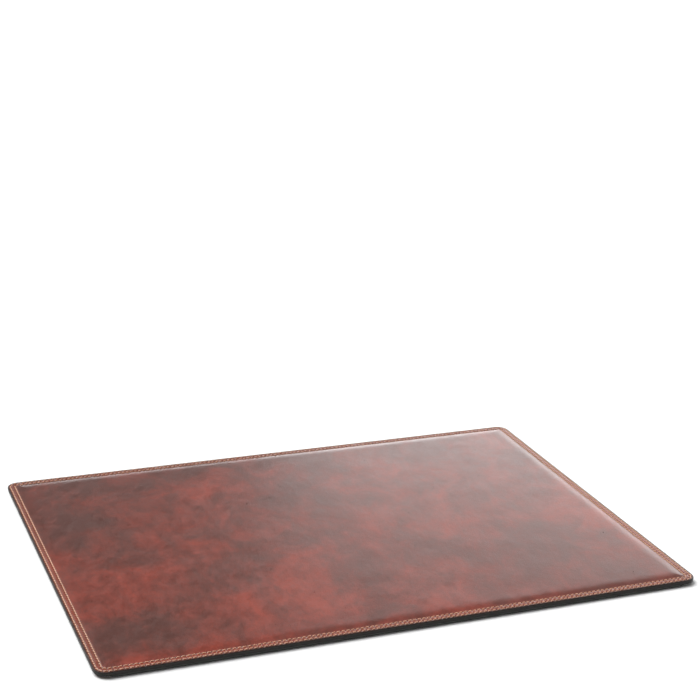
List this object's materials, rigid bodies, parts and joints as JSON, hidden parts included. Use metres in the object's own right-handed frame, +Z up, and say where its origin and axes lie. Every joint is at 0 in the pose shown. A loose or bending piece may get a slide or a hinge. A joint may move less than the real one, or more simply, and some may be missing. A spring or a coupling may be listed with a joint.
{
  "type": "desk mat",
  "caption": "Padded rectangular leather desk mat with round corners, a double-stitched flat border, a raised writing surface and a non-slip underside.",
  "frame": {"origin": "centre of the underside, on the surface that the mat lies on", "axes": "+X along the long side, to the user's right; +Y across the mat, away from the user; +Z up out of the writing surface"},
  "size_m": [0.55, 0.4, 0.0064],
  "materials": {
    "cover_leather": "satin",
    "padding": "matte",
    "board": "matte",
    "lining": "matte",
    "edge_paint": "satin",
    "needle_thread": "matte",
    "bobbin_thread": "matte",
    "base_rubber": "matte"
  },
  "bodies": {
    "root": {"top_leather": "cover_leather", "padding_sheet": "padding", "core_board": "board", "lining_leather": "lining", "edge_coating": "edge_paint", "outer_needle_thread": "needle_thread", "inner_needle_thread": "needle_thread", "outer_bobbin_thread": "bobbin_thread", "inner_bobbin_thread": "bobbin_thread", "base_pad": "base_rubber"}
  },
  "joints": []
}
